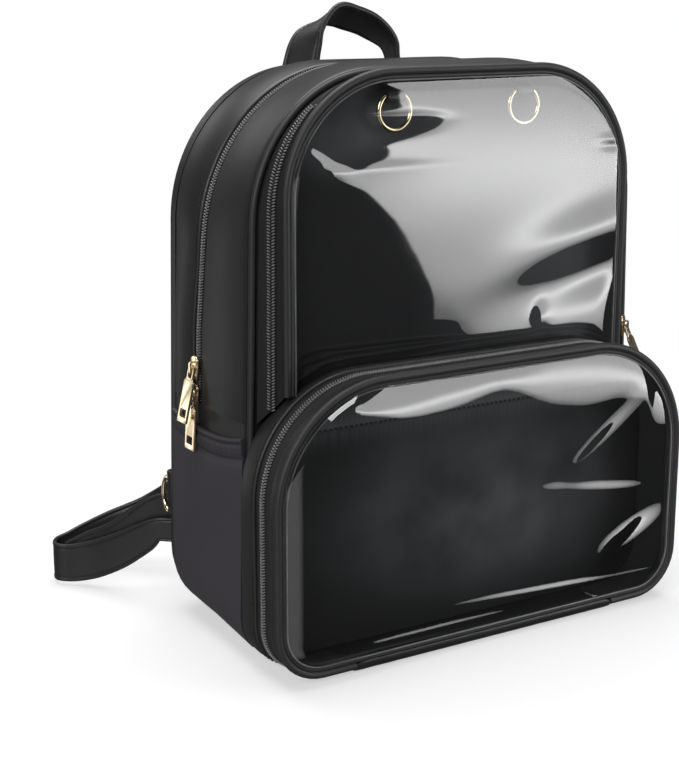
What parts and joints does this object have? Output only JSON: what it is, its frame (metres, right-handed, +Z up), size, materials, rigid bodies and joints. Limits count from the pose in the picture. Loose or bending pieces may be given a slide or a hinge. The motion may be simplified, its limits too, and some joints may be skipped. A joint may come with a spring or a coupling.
{
  "type": "ita bag backpack",
  "caption": "Black faux-leather backpack with a clear window and a clear box pocket on its front, zips, shoulder straps and a top handle, for carrying and showing small things.",
  "frame": {"origin": "on the floor under the middle of the main compartment, on the flat bottom of the base gusset", "axes": "+Z up, -Y toward the front with the clear panels, +X toward the wearer's right as seen from the front's right side"},
  "size_m": [0.3946, 0.2618, 0.3928],
  "materials": {
    "faux_leather": "satin black with a fine grain",
    "side_leather": "satin black with a faint blue cast",
    "piping": "semi-gloss black",
    "zip": "woven tape with a plastic coil",
    "clear_pvc": "clear glossy sheet",
    "gold_metal": "polished pale gold plate"
  },
  "bodies": {
    "bag": {"back_panel": "faux_leather", "rear_gusset": "faux_leather", "mid_gusset": "faux_leather", "main_zip": "zip", "base_gusset": "faux_leather", "seam_piping": "piping", "front_wall": "faux_leather", "side_pocket_left": "side_leather", "side_pocket_right": "side_leather", "window_zip": "zip", "window_piping": "piping", "window_pvc": "clear_pvc", "ring_tab_left": "faux_leather", "ring_tab_right": "faux_leather", "pocket_gusset": "faux_leather", "pocket_zip": "zip", "pocket_front_band": "faux_leather", "pocket_base_strip": "faux_leather", "pocket_piping": "piping", "pocket_pvc": "clear_pvc", "pocket_back": "faux_leather", "handle": "faux_leather", "strap_left": "faux_leather", "strap_right": "faux_leather", "strap_ring_left": "gold_metal", "strap_ring_right": "gold_metal", "anchor_tab_left": "faux_leather", "anchor_tab_right": "faux_leather", "strap_patch": "faux_leather", "main_slider_upper": "gold_metal", "main_slider_lower": "gold_metal", "window_slider": "gold_metal"},
    "upper_pull": {"main_pull_upper": "gold_metal"},
    "lower_pull": {"main_pull_lower": "gold_metal"},
    "window_pull": {"window_pull": "gold_metal"},
    "ring_left": {"d_ring_left": "gold_metal"},
    "ring_right": {"d_ring_right": "gold_metal"}
  },
  "joints": [
    {"name": "upper_pull_swing", "type": "hinge", "parent": "bag", "child": "upper_pull", "pos_m": [-0.14859, 0.036, 0.172], "axis": [0, 1, 0], "range_deg": [0, 130]},
    {"name": "lower_pull_swing", "type": "hinge", "parent": "bag", "child": "lower_pull", "pos_m": [-0.14903, 0.036, 0.1545], "axis": [0, 1, 0], "range_deg": [0, 12]},
    {"name": "window_pull_swing", "type": "hinge", "parent": "bag", "child": "window_pull", "pos_m": [0.13606, -0.04173, 0.181], "axis": [-0.8252, -0.5648, 0], "range_deg": [0, 120]},
    {"name": "ring_left_swing", "type": "hinge", "parent": "bag", "child": "ring_left", "pos_m": [-0.048, -0.0374, 0.339], "axis": [1, 0, 0], "range_deg": [-12, 12]},
    {"name": "ring_right_swing", "type": "hinge", "parent": "bag", "child": "ring_right", "pos_m": [0.048, -0.0374, 0.339], "axis": [1, 0, 0], "range_deg": [-12, 12]}
  ]
}
